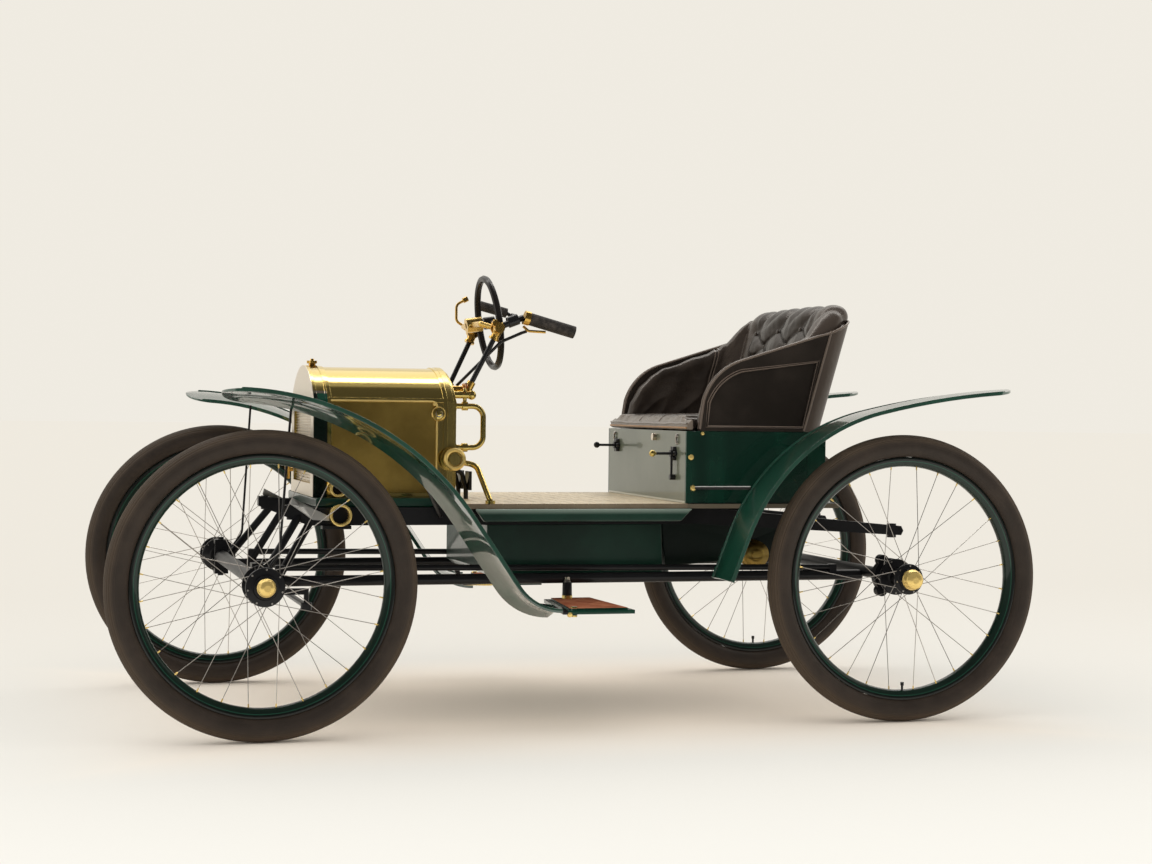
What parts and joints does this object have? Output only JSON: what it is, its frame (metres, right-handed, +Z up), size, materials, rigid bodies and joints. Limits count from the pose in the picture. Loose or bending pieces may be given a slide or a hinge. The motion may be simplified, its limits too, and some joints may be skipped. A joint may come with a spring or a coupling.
{
  "type": "brass era runabout car",
  "caption": "Small open two-seat car of the brass era: wire wheels, brass bonnet, panelled seat box with buttoned leather tub, flared fenders and a ring steering wheel.",
  "frame": {"origin": "on the ground, half way between the axles and between the two sides", "axes": "+X to the front, +Y to the left side, +Z up"},
  "size_m": [2.291, 1.188, 1.1097],
  "materials": {
    "tyre": "matt rubber",
    "rim_green": "gloss coach enamel",
    "wheel_steel": "plated spokes, black hub",
    "bright_steel": "ground steel",
    "black_enamel": "gloss black enamel",
    "green_enamel": "gloss coach enamel",
    "dark_case": "satin enamel",
    "brass": "polished",
    "core_metal": "polished gills",
    "iron": "cast",
    "floor_mat": "ribbed",
    "leather": "buttoned leather",
    "grip_rubber": "matt"
  },
  "bodies": {
    "chassis": {"bonnet": "brass", "controls": "black_enamel", "dash": "brass", "dash_pipes": "brass", "engine_block": "iron", "fender_stays": "black_enamel", "floor": "floor_mat", "frame": "black_enamel", "front_axle": "black_enamel", "front_fenders": "green_enamel", "gear_case": "dark_case", "hand_grips": "grip_rubber", "intake_tubes": "brass", "nose_brackets": "bright_steel", "perch_tubes": "black_enamel", "radiator": "brass", "radiator_core": "core_metal", "radiator_fittings": "brass", "rear_axle": "black_enamel", "rear_fenders": "green_enamel", "seat_box": "green_enamel", "seat_cushion": "leather", "seat_lining": "leather", "seat_tub": "leather", "sills": "green_enamel", "steering_castings": "brass", "steering_column": "black_enamel", "steps": "green_enamel", "undertray": "green_enamel"},
    "front_left_wheel": {"front_left_tyre": "tyre", "front_left_rim": "rim_green", "front_left_spokes": "wheel_steel"},
    "front_right_wheel": {"front_right_tyre": "tyre", "front_right_rim": "rim_green", "front_right_spokes": "wheel_steel"},
    "rear_left_wheel": {"rear_left_tyre": "tyre", "rear_left_rim": "rim_green", "rear_left_spokes": "wheel_steel"},
    "rear_right_wheel": {"rear_right_tyre": "tyre", "rear_right_rim": "rim_green", "rear_right_spokes": "wheel_steel"},
    "left_steer_body": {"left_knuckle": "black_enamel"},
    "right_steer_body": {"right_knuckle": "black_enamel"},
    "tie_bar": {"tie_rod": "black_enamel"},
    "handwheel": {"steering_wheel": "black_enamel"}
  },
  "joints": [
    {"name": "steer_left", "type": "hinge", "parent": "chassis", "child": "left_steer_body", "pos_m": [0.79, 0.43, 0.3555], "axis": [0, 0, 1], "range_deg": [-30, 30]},
    {"name": "steer_right", "type": "hinge", "parent": "chassis", "child": "right_steer_body", "pos_m": [0.79, -0.43, 0.3555], "axis": [0, 0, 1], "range_deg": [-30, 30]},
    {"name": "tie_swing", "type": "hinge", "parent": "left_steer_body", "child": "tie_bar", "pos_m": [0.68, 0.43, 0.3], "axis": [0, 0, 1], "range_deg": [-30, 30]},
    {"name": "handwheel_turn", "type": "hinge", "parent": "chassis", "child": "handwheel", "pos_m": [0.149, 0, 0.987], "axis": [0.9893, 0, -0.1461], "range_deg": [-120, 120]},
    {"name": "front_left_spin", "type": "hinge", "parent": "left_steer_body", "child": "front_left_wheel", "pos_m": [0.79, 0.515, 0.3555], "axis": [0, 1, 0], "continuous": true},
    {"name": "front_right_spin", "type": "hinge", "parent": "right_steer_body", "child": "front_right_wheel", "pos_m": [0.79, -0.515, 0.3555], "axis": [0, 1, 0], "continuous": true},
    {"name": "rear_left_spin", "type": "hinge", "parent": "chassis", "child": "rear_left_wheel", "pos_m": [-0.79, 0.515, 0.3555], "axis": [0, 1, 0], "continuous": true},
    {"name": "rear_right_spin", "type": "hinge", "parent": "chassis", "child": "rear_right_wheel", "pos_m": [-0.79, -0.515, 0.3555], "axis": [0, 1, 0], "continuous": true}
  ],
  "couplings": [
    {"joint": "steer_right", "follows": "steer_left", "ratio": 1},
    {"joint": "tie_swing", "follows": "steer_left", "ratio": -1},
    {"joint": "handwheel_turn", "follows": "steer_left", "ratio": -4}
  ]
}
